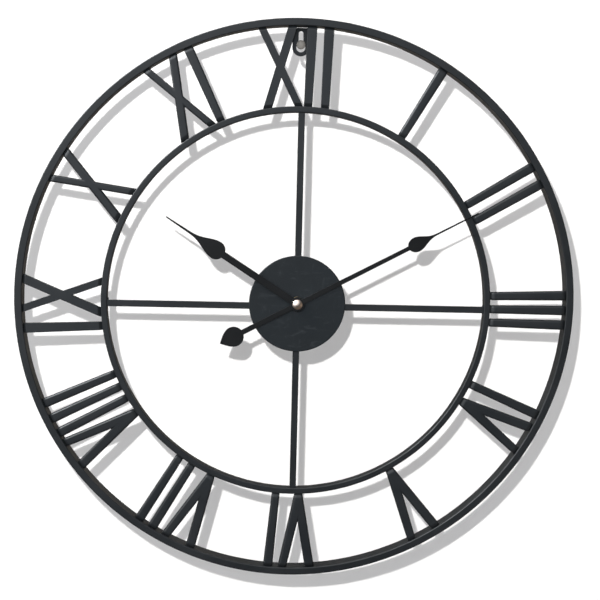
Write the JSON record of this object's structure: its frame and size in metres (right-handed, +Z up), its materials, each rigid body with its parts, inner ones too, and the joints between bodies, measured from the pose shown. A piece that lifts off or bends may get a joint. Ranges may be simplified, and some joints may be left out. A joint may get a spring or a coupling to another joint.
{
  "type": "wall clock",
  "caption": "Round skeleton wall clock of black steel: two rings joined by roman numerals, spokes, centre disc, spade hands and a battery quartz movement.",
  "frame": {"origin": "on the hands' axis, in the plane of the wall that the clock's back rests on", "axes": "+Y into the wall, so that the dial faces -Y; +Z up to the twelve; +X to the right, towards the three"},
  "size_m": [0.5999, 0.029, 0.6],
  "materials": {
    "frame_paint": "satin black powder paint over rolled steel tube",
    "numeral_paint": "satin black powder paint over pressed steel sheet",
    "disc_paint": "flat black paint with faint scuffs",
    "hand_paint": "satin black paint over thin sheet",
    "case_plastic": "fine-grained black moulded plastic",
    "wheel_plastic": "natural acetal",
    "stem_brass": "turned brass",
    "cap_brass": "polished pale brass",
    "bright_steel": "nickel-plated steel",
    "soft_iron": "stamped soft iron",
    "washer_rubber": "matt black rubber",
    "coil_copper": "enamelled copper wire",
    "board_green": "green solder mask",
    "chip_resin": "black potting resin",
    "battery_wrap": "printed shrink film without lettering",
    "magnet_ferrite": "sintered magnet"
  },
  "bodies": {
    "frame": {"outer_ring": "frame_paint", "inner_ring": "frame_paint", "centre_disc": "disc_paint", "hanger_tab": "frame_paint", "spoke_3": "frame_paint", "spoke_6": "frame_paint", "spoke_9": "frame_paint", "spoke_12": "frame_paint", "numeral_1": "numeral_paint", "numeral_2": "numeral_paint", "numeral_3": "numeral_paint", "numeral_4": "numeral_paint", "numeral_5": "numeral_paint", "numeral_6": "numeral_paint", "numeral_7": "numeral_paint", "numeral_8": "numeral_paint", "numeral_9": "numeral_paint", "numeral_10": "numeral_paint", "numeral_11": "numeral_paint", "numeral_12": "numeral_paint", "front_case": "case_plastic", "back_cover": "case_plastic", "bridge_plate": "wheel_plastic", "threaded_stem": "stem_brass", "rubber_washer": "washer_rubber", "brass_washer": "stem_brass", "stem_nut": "stem_brass", "stator": "soft_iron", "coil_core": "soft_iron", "coil_bobbin": "wheel_plastic", "coil_winding": "coil_copper", "circuit_board": "board_green", "clock_chip": "chip_resin", "quartz_crystal": "bright_steel", "contact_plus": "bright_steel", "contact_minus": "bright_steel", "battery": "battery_wrap"},
    "minute_works": {"minute_arbor": "bright_steel", "minute_pinion": "wheel_plastic", "clutch_spring": "bright_steel", "minute_collet": "hand_paint", "minute_hand": "hand_paint", "cap_nut": "cap_brass"},
    "hour_works": {"hour_wheel": "wheel_plastic", "hour_collet": "hand_paint", "hour_hand": "hand_paint"},
    "motion_works": {"motion_wheel": "wheel_plastic"},
    "setting_works": {"setting_knob": "case_plastic", "setting_pinion": "wheel_plastic"},
    "centre_works": {"centre_wheel": "wheel_plastic"},
    "third_works": {"third_wheel": "wheel_plastic"},
    "seconds_works": {"seconds_wheel": "wheel_plastic"},
    "step_works": {"step_wheel": "wheel_plastic"},
    "rotor_works": {"rotor_pinion": "wheel_plastic", "rotor_magnet": "magnet_ferrite"}
  },
  "joints": [
    {"name": "minute_turn", "type": "hinge", "parent": "frame", "child": "minute_works", "pos_m": [0, 0, 0], "axis": [0, 1, 0], "continuous": true},
    {"name": "hour_turn", "type": "hinge", "parent": "frame", "child": "hour_works", "pos_m": [0, 0, 0], "axis": [0, 1, 0], "continuous": true},
    {"name": "motion_turn", "type": "hinge", "parent": "frame", "child": "motion_works", "pos_m": [-0.0084, 0, 0], "axis": [0, 1, 0], "continuous": true},
    {"name": "setting_turn", "type": "hinge", "parent": "frame", "child": "setting_works", "pos_m": [-0.01629, 0, -0.00287], "axis": [0, 1, 0], "continuous": true},
    {"name": "seconds_turn", "type": "hinge", "parent": "frame", "child": "seconds_works", "pos_m": [0, 0, 0], "axis": [0, 1, 0], "continuous": true},
    {"name": "third_turn", "type": "hinge", "parent": "frame", "child": "third_works", "pos_m": [0.00958, 0, 0.00349], "axis": [0, 1, 0], "continuous": true},
    {"name": "centre_turn", "type": "hinge", "parent": "frame", "child": "centre_works", "pos_m": [0, 0, 0], "axis": [0, 1, 0], "continuous": true},
    {"name": "step_turn", "type": "hinge", "parent": "frame", "child": "step_works", "pos_m": [-0.00663, 0, 0.00791], "axis": [0, 1, 0], "continuous": true},
    {"name": "rotor_turn", "type": "hinge", "parent": "frame", "child": "rotor_works", "pos_m": [-0.01391, 0, 0.01211], "axis": [0, 1, 0], "continuous": true}
  ],
  "couplings": [
    {"joint": "hour_turn", "follows": "minute_turn", "ratio": 0.083333},
    {"joint": "motion_turn", "follows": "minute_turn", "ratio": -0.33333},
    {"joint": "setting_turn", "follows": "minute_turn", "ratio": 1},
    {"joint": "third_turn", "follows": "seconds_turn", "ratio": -0.13333},
    {"joint": "centre_turn", "follows": "seconds_turn", "ratio": 0.016667},
    {"joint": "step_turn", "follows": "seconds_turn", "ratio": -5},
    {"joint": "rotor_turn", "follows": "seconds_turn", "ratio": 30}
  ]
}
